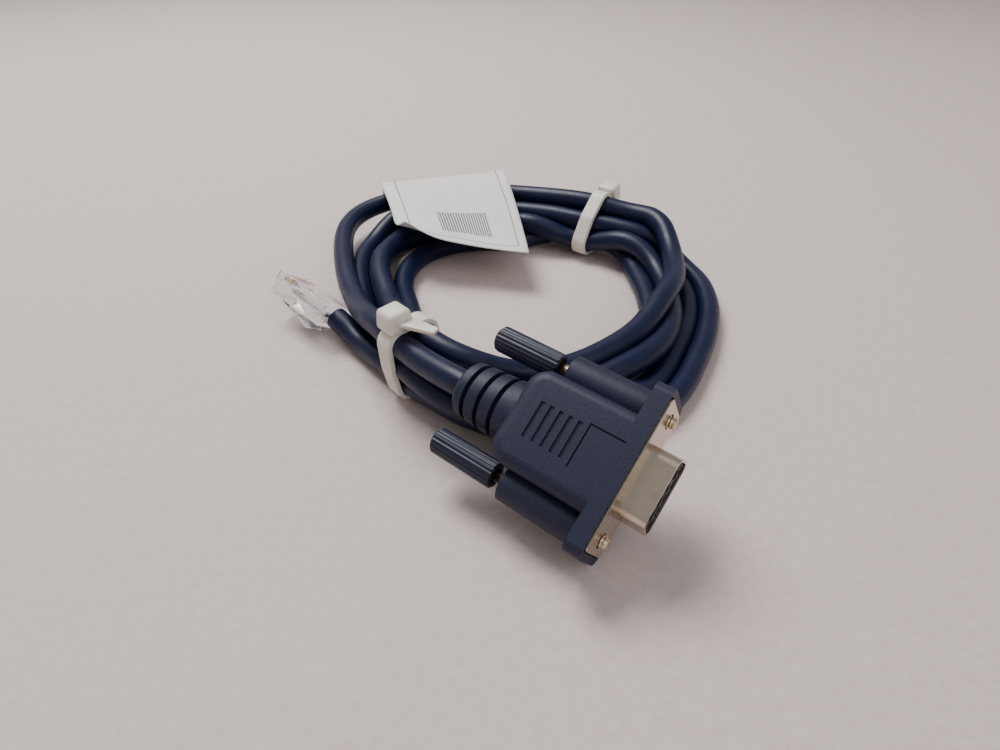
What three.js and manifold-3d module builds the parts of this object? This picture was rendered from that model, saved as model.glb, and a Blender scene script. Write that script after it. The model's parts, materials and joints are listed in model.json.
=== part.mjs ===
// A coiled serial console cable: a round jacketed cable wound into a flat coil and held by two
// zip ties, with a nine-hole D-sub connector on one end and an eight-way modular plug on the other.
// Millimetres, +Z up. The coil lies on the plane z = 0.

import * as THREE from "three";
import { mergeVertices } from "three/addons/utils/BufferGeometryUtils.js";
import Module from "manifold-3d";

const wasm = await Module();
wasm.setup();

// Clearances
const seatGap = 0.3;
const runningGap = 0.3;

// Cable
const cableDiameter = 6.2;
const cableSides = 10;

// D-sub plate and shell
const plateWidth = 30.8;
const plateHeight = 12.5;
const plateThickness = 0.8;
const plateCorner = 1.2;
const screwFromPlateEnd = 2.9;
const shellWidth = 16.3;
const shellHeight = 7.9;
const shellSlant = 10;
const shellCorner = 2.4;
const shellWall = 0.5;
const shellProjection = 5.9;

// Insulator and its socket contacts
const insulatorSetback = 0.2;
const insulatorTail = 3;
const contactPitch = 2.77;
const rowSpacing = 2.84;
const wideRowCount = 5;
const contactHole = 2;
const contactOuter = 1.4;
const contactBore = 0.9;
const contactSetback = 0.8;
const contactLength = 7;

// Moulded hood
const hoodWidth = 20.4;
const hoodThickness = 14.4;
const hoodLength = 26.2;
const hoodCorner = 4.6;
const hoodEdge = 2.4;
const flangeWidth = 34.6;
const flangeDepth = 3.5;
const flangeCorner = 2.2;
const flangeSetback = 0.4;
const bossDiameter = 7.6;
const bossRear = 21.2;

// Strain relief
const reliefLength = 13.3;
const reliefRearDiameter = 12;
const reliefFrontDiameter = 13.6;
const reliefGrooveWidth = 1.1;
const reliefGrooveDepth = 1.3;
const reliefGrooveCount = 3;
const reliefRingPitch = 3.6;
const reliefRearEdge = 0.8;

// Grip slots and corner line on the hood's top
const slotCount = 5;
const slotPitch = 2.05;
const slotLength = 7.6;
const slotWidth = 0.9;
const reliefCutDepth = 0.35;
const firstSlot = 20.4;
const cornerLine = 10.5;
const cornerLineReach = 7.4;
const cornerLineSide = 4.4;
const cornerLineLength = 9;
const cornerLineWidth = 0.35;

// Thumbscrews
const screwDiameter = 2.6;
const screwTip = 1.4;
const knobDiameter = 5.7;
const knobLength = 15.4;
const knobRear = 39.3;
const knobFlutes = 20;
const knobFluteDepth = 0.25;
const knobStepsPerFlute = 4;
const knobEdge = 0.6;
const driverSlotWidth = 0.9;
const driverSlotDepth = 1.4;
const screwBack = 3;

// Where the connector lies: the middle of the plate's front face, and its three turns in degrees
const connectorPlace = new THREE.Vector3(24.6, -63, 16.4);
const connectorYaw = -37.8;
const connectorNoseDown = 3.1;
const connectorRoll = 35.6;

// Modular plug
const plugWidth = 11.7;
const plugThickness = 6.6;
const plugLength = 21.5;
const plugEdge = 0.5;
const plugWay = 1.02;
const plugWayCount = 8;
const bladeWidth = 0.5;
const bladeSideGap = 0.2;
const bladeUnderGap = 0.3;
const bladeDepth = 0.3;
const bladeLength = 3.2;
const bladeSetback = 1.2;
const wireDiameter = 0.9;
const wireLength = 15;
const wireCavityHeight = 1.7;
const latchWidth = 6;
const latchThickness = 0.9;
const latchLength = 13.5;
const latchDrop = 3.2;
const latchSetback = 2;
const plugPlace = new THREE.Vector3(-44.9, 6, 6.7);
const plugYaw = 137;
const plugTilt = -4.5;
const plugRoll = 38;

// Zip ties
const strapWidth = 4.8;
const strapThickness = 1.1;
const strapClearance = 0.4;
const tieHeadLength = 7.8;
const tieHeadWidth = 7.2;
const tieHeadHeight = 5.2;
const tieHeadEdge = 0.9;
const tieTailLength = 5;
const frontHeadAngle = 100;
const backHeadAngle = 30;
const tieTailRise = 20;

// Paper label, laid over the coil from a low edge inside it to a low edge outside it
const labelThickness = 0.3;
const labelClearance = 0.3;
const labelFrom = 0.275;
const labelTo = 0.405;
const labelInnerEdge = -20;
const labelOuterEdge = 190;
const labelSteps = 10;

// The coil: stations round its middle line, in order from the front tie, seen from above clockwise.
// Each has its place, the half width and the height of the turns there.
const coilStations = [
  { x: -19.3, y: -19, half: 6.8, top: 20.2, bottom: 1.6 },
  { x: -30.2, y: 9.3, half: 8.1, top: 14.8, bottom: 0.1 },
  { x: -38.6, y: 34, half: 12.1, top: 13, bottom: 0.1 },
  { x: -31, y: 64.5, half: 18, top: 13.2, bottom: 0.1 },
  { x: 3.1, y: 70.8, half: 14.6, top: 17, bottom: 0.1 },
  { x: 31.1, y: 58.8, half: 7.9, top: 19.3, bottom: 1.6 },
  { x: 48.5, y: 41.7, half: 9.9, top: 16.5, bottom: 0.1 },
  { x: 51.6, y: 15.1, half: 11.4, top: 15.8, bottom: 0.1 },
  { x: 36, y: -17.8, half: 11.5, top: 14, bottom: 0.1 },
  { x: 13.7, y: -29.4, half: 9.9, top: 13, bottom: 0.1 },
  { x: -7, y: -29, half: 7.8, top: 11.2, bottom: 0.1 },
];
const frontTieStation = 0;
const backTieStation = 5;
const coilSegments = 72;
const coilSides = 14;
const coilSquareness = 2.6;

// Uncoiled stretches of the cable, from each end's connector to inside the coil
const leadBend = [
  [-15.2, -30, 18.2],
  [-19.5, -24.5, 17.8],
  [-21.5, -19, 16.5],
];
const tailBend = [
  [-41.3, 2.7, 6],
  [-36.7, -1.8, 3.8],
  [-31.5, -6.7, 3.4],
  [-26.5, -12, 4.2],
];

// How far a cutting shape runs past the piece that it cuts
const past = 1;

const degrees = THREE.MathUtils.degToRad;

// Turns a closed geometry into a manifold solid.
function solidOf(geometry) {
  const bare = geometry.clone();
  bare.deleteAttribute("normal");
  bare.deleteAttribute("uv");
  const welded = mergeVertices(bare, 1e-4);
  const triVerts = new Uint32Array(welded.index.array);
  const vertProperties = new Float32Array(welded.attributes.position.array);
  return new wasm.Manifold(new wasm.Mesh({ numProp: 3, vertProperties, triVerts }));
}

function geometryOf(solid) {
  const mesh = solid.getMesh();
  const geometry = new THREE.BufferGeometry();
  geometry.setAttribute("position", new THREE.BufferAttribute(new Float32Array(mesh.vertProperties), 3));
  geometry.setIndex(new THREE.BufferAttribute(new Uint32Array(mesh.triVerts), 1));
  const flat = geometry.toNonIndexed();
  flat.computeVertexNormals();
  return flat;
}

function join(geometries) {
  return geometries.map(solidOf).reduce((whole, piece) => whole.add(piece));
}

function cut(solid, geometries) {
  return geometries.map(solidOf).reduce((whole, piece) => whole.subtract(piece), solid);
}

// Materials, one for each kind of surface
function material(colour, roughness, metalness) {
  return new THREE.MeshStandardMaterial({ color: colour, roughness, metalness });
}

const looks = {
  jacket: () => material(0x16233f, 0.4, 0),
  hood: () => material(0x2a2c49, 0.6, 0),
  nickel: () => material(0xc9c2b6, 0.3, 1),
  insulator: () => material(0x1a1a1e, 0.6, 0),
  brass: () => material(0xb98d4a, 0.35, 1),
  steel: () => material(0xb5a88f, 0.35, 1),
  nylon: () => material(0xe6e2d6, 0.5, 0),
  clear: () => material(0xe4e6e6, 0.1, 0),
  paper: () => material(0xf1efe9, 0.8, 0),
};
const wireColours = [0xd86a30, 0xe8e2d8, 0x9aa0a4, 0x3c66b0, 0xe8e2d8, 0x5c9a5c, 0x8e6cae, 0x7d5a3c];

function named(name, geometry, look) {
  const mesh = new THREE.Mesh(geometry, look);
  mesh.name = name;
  return mesh;
}

// A box from its two corners
function boxBetween(low, high) {
  const size = high.map((value, axis) => value - low[axis]);
  const middle = high.map((value, axis) => (value + low[axis]) / 2);
  return new THREE.BoxGeometry(...size).translate(...middle);
}

// A cylinder along X, from one x to another, on the line y, z
function rod(radius, fromX, toX, y = 0, z = 0, sides = 24) {
  const cylinder = new THREE.CylinderGeometry(radius, radius, toX - fromX, sides);
  return cylinder.rotateZ(-Math.PI / 2).translate((fromX + toX) / 2, y, z);
}

// A flat outline in the connector's Y and Z, pushed along X
function pushedAlongX(shape, fromX, toX) {
  const depth = toX - fromX;
  const geometry = new THREE.ExtrudeGeometry(shape, { depth, bevelEnabled: false, curveSegments: 6 });
  const turn = new THREE.Matrix4().makeBasis(
    new THREE.Vector3(0, 1, 0),
    new THREE.Vector3(0, 0, 1),
    new THREE.Vector3(1, 0, 0),
  );
  return geometry.applyMatrix4(turn).translate(fromX, 0, 0);
}

function roundedRectangle(width, height, radius, Kind = THREE.Shape) {
  return roundedPolygon(
    [
      [-width / 2, -height / 2],
      [width / 2, -height / 2],
      [width / 2, height / 2],
      [-width / 2, height / 2],
    ],
    radius,
    Kind,
  );
}

// A polygon, given counterclockwise, with its corners rounded
function roundedPolygon(corners, radius, Kind = THREE.Shape) {
  const shape = new Kind();
  const points = corners.map(([x, y]) => new THREE.Vector2(x, y));
  points.forEach((corner, index) => {
    const before = points[(index + points.length - 1) % points.length];
    const after = points[(index + 1) % points.length];
    const towardBefore = before.clone().sub(corner).normalize();
    const towardAfter = after.clone().sub(corner).normalize();
    const half = Math.acos(towardBefore.dot(towardAfter)) / 2;
    const reach = radius / Math.tan(half);
    const start = corner.clone().addScaledVector(towardBefore, reach);
    const end = corner.clone().addScaledVector(towardAfter, reach);
    const centre = corner
      .clone()
      .add(towardBefore.clone().add(towardAfter).normalize().multiplyScalar(radius / Math.sin(half)));
    if (index === 0) {
      shape.moveTo(start.x, start.y);
    } else {
      shape.lineTo(start.x, start.y);
    }
    const from = Math.atan2(start.y - centre.y, start.x - centre.x);
    const to = Math.atan2(end.y - centre.y, end.x - centre.x);
    shape.absarc(centre.x, centre.y, radius, from, to, false);
  });
  shape.closePath();
  return shape;
}

// The D outline, its narrow side up, drawn in Y and Z and grown by an offset
function dOutline(offset, Kind = THREE.Shape) {
  const lean = Math.tan(degrees(shellSlant)) * shellHeight;
  const side = offset / Math.cos(degrees(shellSlant));
  const grow = Math.tan(degrees(shellSlant)) * offset;
  const low = shellWidth / 2 + side + grow;
  const high = shellWidth / 2 - lean + side - grow;
  const tall = shellHeight / 2 + offset;
  return roundedPolygon(
    [
      [-low, -tall],
      [low, -tall],
      [high, tall],
      [-high, tall],
    ],
    Math.max(shellCorner + offset, 0.3),
    Kind,
  );
}

// Places of the socket holes, wide row low
function contactPlaces() {
  const rows = [
    { count: wideRowCount, z: -rowSpacing / 2 },
    { count: wideRowCount - 1, z: rowSpacing / 2 },
  ];
  return rows.flatMap(({ count, z }) =>
    Array.from({ length: count }, (_, index) => ({ y: (index - (count - 1) / 2) * contactPitch, z })),
  );
}

const screwSpacing = plateWidth - 2 * screwFromPlateEnd;
const screwSides = [
  { name: "upper", y: screwSpacing / 2 },
  { name: "lower", y: -screwSpacing / 2 },
];

const insulatorFront = shellProjection - insulatorSetback;
const insulatorRear = -plateThickness - insulatorTail;
const reliefRear = -hoodLength - reliefLength;
const screwHoleRadius = screwDiameter / 2 + runningGap;

// Profile of the strain relief, turned about the cable's line: a taper with grooves between rings
function strainRelief() {
  const inside = -hoodLength + hoodCorner;
  const radiusAt = (x) =>
    THREE.MathUtils.mapLinear(x, reliefRear, -hoodLength, reliefRearDiameter, reliefFrontDiameter) / 2;
  const profile = [
    [0, reliefRear],
    [radiusAt(reliefRear) - reliefRearEdge, reliefRear],
    [radiusAt(reliefRear), reliefRear + reliefRearEdge],
  ];
  for (let ring = 1; ring <= reliefGrooveCount; ring += 1) {
    const start = reliefRear + ring * reliefRingPitch - reliefGrooveWidth;
    const end = start + reliefGrooveWidth;
    profile.push([radiusAt(start), start], [radiusAt(start) - reliefGrooveDepth, start]);
    profile.push([radiusAt(end) - reliefGrooveDepth, end], [radiusAt(end), end]);
  }
  profile.push([radiusAt(-hoodLength), -hoodLength], [radiusAt(-hoodLength), inside], [0, inside]);
  const points = profile.map(([radius, x]) => new THREE.Vector2(radius, x));
  return new THREE.LatheGeometry(points, 28).rotateZ(-Math.PI / 2);
}

// The block that the cable's conductors end in, rounded at the rear and along its long edges
function hoodBlock() {
  const front = -flangeSetback - flangeDepth / 2;
  const rear = -hoodLength;
  const halfWidth = hoodWidth / 2 - hoodEdge;
  const plan = new THREE.Shape();
  const corner = hoodCorner - hoodEdge;
  plan.moveTo(front, -halfWidth);
  plan.lineTo(front, halfWidth);
  plan.lineTo(rear + hoodEdge + corner, halfWidth);
  plan.absarc(rear + hoodEdge + corner, halfWidth - corner, corner, Math.PI / 2, Math.PI, false);
  plan.absarc(rear + hoodEdge + corner, -halfWidth + corner, corner, Math.PI, Math.PI * 1.5, false);
  plan.closePath();
  const block = new THREE.ExtrudeGeometry(plan, {
    depth: hoodThickness - 2 * hoodEdge,
    bevelEnabled: true,
    bevelThickness: hoodEdge,
    bevelSize: hoodEdge,
    bevelSegments: 4,
    curveSegments: 6,
  });
  return block.translate(0, 0, -hoodThickness / 2 + hoodEdge);
}

function connectorHood() {
  const flangeFront = -flangeSetback;
  const flangeShape = roundedRectangle(flangeWidth, hoodThickness, flangeCorner);
  const solid = join([
    hoodBlock(),
    pushedAlongX(flangeShape, flangeFront - flangeDepth, flangeFront),
    strainRelief(),
    ...screwSides.map(({ y }) => rod(bossDiameter / 2, -bossRear, flangeFront - flangeDepth / 2, y)),
  ]);
  const recess = roundedRectangle(plateWidth + 2 * seatGap, plateHeight + 2 * seatGap, plateCorner);
  const cuts = [
    ...screwSides.map(({ y }) => rod(screwHoleRadius, -bossRear - past, past, y)),
    pushedAlongX(recess, -plateThickness - seatGap, past),
    pushedAlongX(dOutline(-shellWall), insulatorRear - seatGap, 0),
    ...topCuts(),
  ];
  return geometryOf(cut(solid, cuts));
}

// The shallow slots and the corner line in the hood's top
function topCuts() {
  const low = hoodThickness / 2 - reliefCutDepth;
  const high = hoodThickness / 2 + past;
  const cuts = [];
  for (let index = 0; index < slotCount; index += 1) {
    const x = -firstSlot + index * slotPitch;
    cuts.push(
      boxBetween([x - slotWidth / 2, -slotLength / 2, low], [x + slotWidth / 2, slotLength / 2, high]),
    );
  }
  const side = cornerLineSide;
  const width = cornerLineWidth;
  cuts.push(boxBetween([-cornerLine, side - cornerLineLength, low], [-cornerLine + width, side, high]));
  cuts.push(boxBetween([-cornerLine, side - width, low], [-cornerLine + cornerLineReach, side, high]));
  return cuts;
}

// Plate and shell are one drawn sheet: a flat flange with a D-shaped tube standing out of it
function plateAndShell() {
  const plate = roundedRectangle(plateWidth, plateHeight, plateCorner);
  const solid = join([
    pushedAlongX(plate, -plateThickness, 0),
    pushedAlongX(dOutline(0), -plateThickness / 2, shellProjection),
  ]);
  const cuts = [
    pushedAlongX(dOutline(-shellWall), -plateThickness - past, shellProjection + past),
    ...screwSides.map(({ y }) => rod(screwHoleRadius, -plateThickness - past, past, y)),
  ];
  return geometryOf(cut(solid, cuts));
}

function insulator() {
  const block = solidOf(pushedAlongX(dOutline(-shellWall - seatGap), insulatorRear, insulatorFront));
  const holes = contactPlaces().map(({ y, z }) =>
    rod(contactHole / 2, insulatorRear - past, insulatorFront + past, y, z, 12),
  );
  return geometryOf(cut(block, holes));
}

function socketContact({ y, z }) {
  const front = insulatorFront - contactSetback;
  const tube = solidOf(rod(contactOuter / 2, front - contactLength, front, y, z, 12));
  return geometryOf(cut(tube, [rod(contactBore / 2, front - contactLength / 2, front + past, y, z, 8)]));
}

// Fluted grip of a thumbscrew, with a slot across its rear end
function knob(y) {
  const rear = -knobRear;
  const front = rear + knobLength;
  const radius = knobDiameter / 2;
  const outline = new THREE.Shape();
  const steps = knobFlutes * knobStepsPerFlute;
  for (let step = 0; step < steps; step += 1) {
    const angle = (step / steps) * Math.PI * 2;
    const inner = step % knobStepsPerFlute === 0 ? knobFluteDepth : 0;
    const place = [Math.cos(angle) * (radius - inner), Math.sin(angle) * (radius - inner)];
    if (step === 0) {
      outline.moveTo(...place);
    } else {
      outline.lineTo(...place);
    }
  }
  outline.closePath();
  const fluted = solidOf(pushedAlongX(outline, rear, front).translate(0, y, 0));
  const envelope = [
    [0, rear],
    [radius - knobEdge, rear],
    [radius, rear + knobEdge],
    [radius, front - knobEdge / 2],
    [radius - knobEdge / 2, front],
    [0, front],
  ].map(([r, x]) => new THREE.Vector2(r, x));
  const turned = new THREE.LatheGeometry(envelope, 32).rotateZ(-Math.PI / 2).translate(0, y, 0);
  const cuts = [
    rod(screwDiameter / 2 + seatGap, rear + screwBack - seatGap, front + past, y, 0, 16),
    boxBetween(
      [rear - past, y - radius - past, -driverSlotWidth / 2],
      [rear + driverSlotDepth, y + radius + past, driverSlotWidth / 2],
    ),
  ];
  return geometryOf(cut(fluted.intersect(solidOf(turned)), cuts));
}

function connector() {
  const group = new THREE.Group();
  group.add(named("connector_hood", connectorHood(), looks.hood()));
  group.add(named("plate_and_shell", plateAndShell(), looks.nickel()));
  group.add(named("insulator", insulator(), looks.insulator()));
  contactPlaces().forEach((place, index) => {
    group.add(named(`socket_contact_${index + 1}`, socketContact(place), looks.brass()));
  });
  screwSides.forEach(({ name, y }) => {
    const screw = rod(screwDiameter / 2, -knobRear + screwBack, screwTip, y, 0, 16);
    group.add(named(`thumbscrew_knob_${name}`, knob(y), looks.hood()));
    group.add(named(`thumbscrew_screw_${name}`, screw, looks.steel()));
  });
  group.position.copy(connectorPlace);
  group.rotation.set(degrees(connectorRoll), degrees(connectorNoseDown), degrees(connectorYaw), "ZYX");
  group.updateMatrixWorld(true);
  return group;
}

// The coil's middle line and its section, read at a share of the way round
const coilLine = new THREE.CatmullRomCurve3(
  coilStations.map(({ x, y }) => new THREE.Vector3(x, y, 0)),
  true,
  "centripetal",
);

function coilSection(turn) {
  const count = coilStations.length;
  const share = ((turn % 1) + 1) % 1;
  const place = share * count;
  const from = Math.floor(place) % count;
  const to = (from + 1) % count;
  const ease = THREE.MathUtils.smoothstep(place - Math.floor(place), 0, 1);
  const read = (key) => THREE.MathUtils.lerp(coilStations[from][key], coilStations[to][key], ease);
  const point = coilLine.getPoint(share);
  const along = coilLine.getTangent(share);
  const side = new THREE.Vector3(-along.y, along.x, 0);
  return { point, along, side, half: read("half"), top: read("top"), bottom: read("bottom") };
}

// A point of the coil's skin: share of the way round, and the angle round the section from its side
function coilSkin(share, angle, offset = 0) {
  const { point, side, half, top, bottom } = coilSection(share);
  const rise = (top - bottom) / 2 + offset;
  const squash = (value) => Math.sign(value) * Math.abs(value) ** (2 / coilSquareness);
  const across = squash(Math.cos(angle)) * (half + offset);
  const up = (top + bottom) / 2 + squash(Math.sin(angle)) * rise;
  return point.clone().addScaledVector(side, across).setZ(up);
}

// The coil as one turned ring, then bent to the line that the turns follow
function coil(offset = 0) {
  const ringRadius = 10;
  const sectionRadius = 1;
  const profile = [];
  for (let side = 0; side <= coilSides; side += 1) {
    const angle = (side / coilSides) * Math.PI * 2;
    profile.push(
      new THREE.Vector2(ringRadius + Math.cos(angle) * sectionRadius, Math.sin(angle) * sectionRadius),
    );
  }
  const ring = new THREE.LatheGeometry(profile, coilSegments).rotateX(Math.PI / 2);
  const places = ring.attributes.position;
  const vertex = new THREE.Vector3();
  for (let index = 0; index < places.count; index += 1) {
    vertex.fromBufferAttribute(places, index);
    const share = Math.atan2(vertex.y, vertex.x) / (Math.PI * 2);
    const angle = Math.atan2(vertex.z, Math.hypot(vertex.x, vertex.y) - ringRadius);
    const bent = coilSkin(-share, angle, offset);
    places.setXYZ(index, bent.x, bent.y, bent.z);
  }
  return solidOf(ring);
}

// A round tube along a smooth line through the points
function tube(points, diameter, sides, steps) {
  const line = new THREE.CatmullRomCurve3(points, false, "centripetal");
  const section = new THREE.Shape();
  for (let side = 0; side < sides; side += 1) {
    const angle = (side / sides) * Math.PI * 2;
    const place = [(Math.cos(angle) * diameter) / 2, (Math.sin(angle) * diameter) / 2];
    if (side === 0) {
      section.moveTo(...place);
    } else {
      section.lineTo(...place);
    }
  }
  section.closePath();
  return new THREE.ExtrudeGeometry(section, { steps, bevelEnabled: false, extrudePath: line });
}

function vectors(list) {
  return list.map((point) => new THREE.Vector3(...point));
}

// The longest stretch of a cord that starts at the route's first point and stays clear of the coil
function tubeToCoil(points, coilWithGap) {
  const line = new THREE.CatmullRomCurve3(points, false, "centripetal");
  const steps = Math.ceil(line.getLength() / (cableDiameter / 2));
  const stretch = (share) => {
    const places = Array.from({ length: steps + 1 }, (_, index) => line.getPointAt((share * index) / steps));
    return tube(places, cableDiameter, cableSides, steps);
  };
  const halvings = 8;
  let clear = 0;
  let blocked = 1;
  for (let halving = 0; halving < halvings; halving += 1) {
    const share = (clear + blocked) / 2;
    if (solidOf(stretch(share)).intersect(coilWithGap).isEmpty()) {
      clear = share;
    } else {
      blocked = share;
    }
  }
  return stretch(clear);
}

// From the strain relief's rear face to the coil
function cableLead(connectorGroup, coilWithGap) {
  const exit = new THREE.Vector3(reliefRear - seatGap, 0, 0).applyMatrix4(connectorGroup.matrixWorld);
  const straight = new THREE.Vector3(reliefRear - cableDiameter, 0, 0).applyMatrix4(connectorGroup.matrixWorld);
  return tubeToCoil([exit, straight, ...vectors(leadBend)], coilWithGap);
}

// From the modular plug's rear face to the coil
function cableTail(plugGroup, coilWithGap) {
  const exit = new THREE.Vector3(-seatGap, 0, 0).applyMatrix4(plugGroup.matrixWorld);
  const straight = new THREE.Vector3(-cableDiameter / 2, 0, 0).applyMatrix4(plugGroup.matrixWorld);
  return tubeToCoil([exit, straight, ...vectors(tailBend)], coilWithGap);
}

const bladeSlotFloor = wireCavityHeight / 2 + bladeUnderGap;

// Clear body of the modular plug: X runs from the cable to the nose, the latch hangs below
function plugBody() {
  const low = -plugThickness / 2;
  const shape = roundedRectangle(plugWidth, plugThickness, plugEdge);
  const latchFront = plugLength - latchSetback;
  const latchRear = latchFront - latchLength;
  const latch = new THREE.Shape();
  latch.moveTo(latchFront, low + plugEdge);
  latch.lineTo(latchFront, low - latchThickness / 2);
  latch.lineTo(latchFront - latchThickness, low - latchThickness);
  latch.lineTo(latchRear, low - latchDrop);
  latch.lineTo(latchRear, low - latchDrop + latchThickness);
  latch.lineTo(latchFront - 2 * latchThickness, low);
  latch.lineTo(latchFront - 2 * latchThickness, low + plugEdge);
  latch.closePath();
  const latchSolid = new THREE.ExtrudeGeometry(latch, { depth: latchWidth, bevelEnabled: false })
    .rotateX(Math.PI / 2)
    .translate(0, latchWidth / 2, 0);
  const solid = join([pushedAlongX(shape, 0, plugLength), latchSolid]);
  const cavityWidth = plugWay * plugWayCount + seatGap * 2;
  const cuts = [
    boxBetween(
      [-past, -cavityWidth / 2, -wireCavityHeight / 2],
      [wireLength + seatGap, cavityWidth / 2, wireCavityHeight / 2],
    ),
    ...bladePlaces().map((y) =>
      boxBetween(
        [plugLength - bladeSetback - bladeLength - seatGap, y - bladeWidth / 2 - bladeSideGap, bladeSlotFloor],
        [plugLength + past, y + bladeWidth / 2 + bladeSideGap, plugThickness / 2 + past],
      ),
    ),
  ];
  return geometryOf(cut(solid, cuts));
}

function bladePlaces() {
  return Array.from({ length: plugWayCount }, (_, index) => (index - (plugWayCount - 1) / 2) * plugWay);
}

function plug() {
  const group = new THREE.Group();
  group.add(named("plug_body", plugBody(), looks.clear()));
  const bladeTop = plugThickness / 2 - bladeDepth;
  bladePlaces().forEach((y, index) => {
    const blade = boxBetween(
      [plugLength - bladeSetback - bladeLength, y - bladeWidth / 2, bladeSlotFloor + seatGap],
      [plugLength - bladeSetback, y + bladeWidth / 2, bladeTop],
    );
    group.add(named(`plug_blade_${index + 1}`, blade, looks.brass()));
    const wire = rod(wireDiameter / 2, 0, wireLength, y, 0, 8);
    group.add(named(`plug_wire_${index + 1}`, wire, material(wireColours[index], 0.5, 0)));
  });
  group.position.copy(plugPlace);
  group.rotation.set(degrees(plugRoll), degrees(plugTilt), degrees(plugYaw), "ZYX");
  group.updateMatrixWorld(true);
  return group;
}

// A strap round the coil at a station, following its skin
function strap(station) {
  const share = station / coilStations.length;
  const { point, along } = coilSection(share);
  const outline = (offset, Kind) => {
    const shape = new Kind();
    const steps = 32;
    for (let step = 0; step < steps; step += 1) {
      const angle = (step / steps) * Math.PI * 2;
      const skin = coilSkin(share, angle, offset);
      const across = skin.clone().sub(point).setZ(0);
      const sign = Math.sign(across.dot(new THREE.Vector3(-along.y, along.x, 0)));
      const place = [across.length() * sign, skin.z];
      if (step === 0) {
        shape.moveTo(...place);
      } else {
        shape.lineTo(...place);
      }
    }
    shape.closePath();
    return shape;
  };
  const shape = outline(strapClearance + strapThickness, THREE.Shape);
  shape.holes.push(outline(strapClearance, THREE.Path));
  const geometry = new THREE.ExtrudeGeometry(shape, { depth: strapWidth, bevelEnabled: false });
  geometry.translate(0, 0, -strapWidth / 2);
  const side = new THREE.Vector3(-along.y, along.x, 0);
  const up = new THREE.Vector3(0, 0, 1);
  const turn = new THREE.Matrix4().makeBasis(side, up, new THREE.Vector3().crossVectors(side, up));
  return geometry.applyMatrix4(turn.setPosition(point));
}

// The tie's head on its strap, and the short end that sticks out of it, lying on the coil's skin
function tieHead(station, angle) {
  const share = station / coilStations.length;
  const { along } = coilSection(share);
  const seat = coilSkin(share, angle, strapClearance + strapThickness / 2);
  const nearby = degrees(3);
  const ahead = coilSkin(share, angle + nearby);
  const behind = coilSkin(share, angle - nearby);
  const round = ahead.sub(behind).normalize();
  const out = new THREE.Vector3().crossVectors(round, along).normalize();
  if (out.z < 0) {
    out.negate();
  }
  const across = new THREE.Vector3().crossVectors(out, round);
  const headShape = roundedRectangle(tieHeadLength, tieHeadWidth, tieHeadEdge);
  const head = new THREE.ExtrudeGeometry(headShape, { depth: tieHeadHeight, bevelEnabled: false, curveSegments: 3 });
  const tail = boxBetween(
    [0, -strapWidth / 2, 0],
    [tieHeadLength / 2 + tieTailLength, strapWidth / 2, strapThickness],
  );
  tail.rotateY(-degrees(tieTailRise)).translate(0, 0, tieHeadHeight / 2);
  const turn = new THREE.Matrix4().makeBasis(round, across, out).setPosition(seat);
  return [head.applyMatrix4(turn), tail.applyMatrix4(turn)];
}

function zipTie(station, headAngle) {
  return geometryOf(join([strap(station), ...tieHead(station, degrees(headAngle))]));
}

// A sheet of paper laid over the turns, a little off their skin
function label() {
  const sheet = new THREE.BoxGeometry(1, 1, 1, labelSteps, labelSteps, 1);
  const places = sheet.attributes.position;
  for (let index = 0; index < places.count; index += 1) {
    const share = THREE.MathUtils.lerp(labelTo, labelFrom, places.getX(index) + 0.5);
    const angle = degrees(THREE.MathUtils.lerp(labelInnerEdge, labelOuterEdge, places.getY(index) + 0.5));
    const offset = labelClearance + (places.getZ(index) + 0.5) * labelThickness;
    const skin = coilSkin(share, angle, offset);
    places.setXYZ(index, skin.x, skin.y, skin.z);
  }
  return geometryOf(solidOf(sheet));
}

// Moves the whole so that its origin is under the middle of all but the cord, on the floor
function standOnOrigin(group, cordNames) {
  const box = new THREE.Box3();
  group.updateMatrixWorld(true);
  group.traverse((node) => {
    if (node.isMesh && !cordNames.includes(node.name)) {
      box.expandByObject(node, true);
    }
  });
  const middle = box.getCenter(new THREE.Vector3());
  group.position.set(-middle.x, -middle.y, -box.min.z);
}

const coilSolid = coil();
const coilWithGap = coil(seatGap);
const connectorGroup = connector();
const plugGroup = plug();
const whole = new THREE.Group();
whole.add(connectorGroup);
whole.add(plugGroup);
whole.add(named("cable_coil", geometryOf(coilSolid), looks.jacket()));
whole.add(named("cable_lead", cableLead(connectorGroup, coilWithGap), looks.jacket()));
whole.add(named("cable_tail", cableTail(plugGroup, coilWithGap), looks.jacket()));
whole.add(named("zip_tie_front", zipTie(frontTieStation, frontHeadAngle), looks.nylon()));
whole.add(named("zip_tie_back", zipTie(backTieStation, backHeadAngle), looks.nylon()));
whole.add(named("paper_label", label(), looks.paper()));
standOnOrigin(whole, ["cable_coil", "cable_lead", "cable_tail"]);

export default whole;
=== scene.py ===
"""The looks of a coiled serial console cable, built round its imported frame. Metres, +Z up."""

import json
import math

import bmesh
import bpy
import numpy as np
from mathutils import Matrix, Vector


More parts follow.
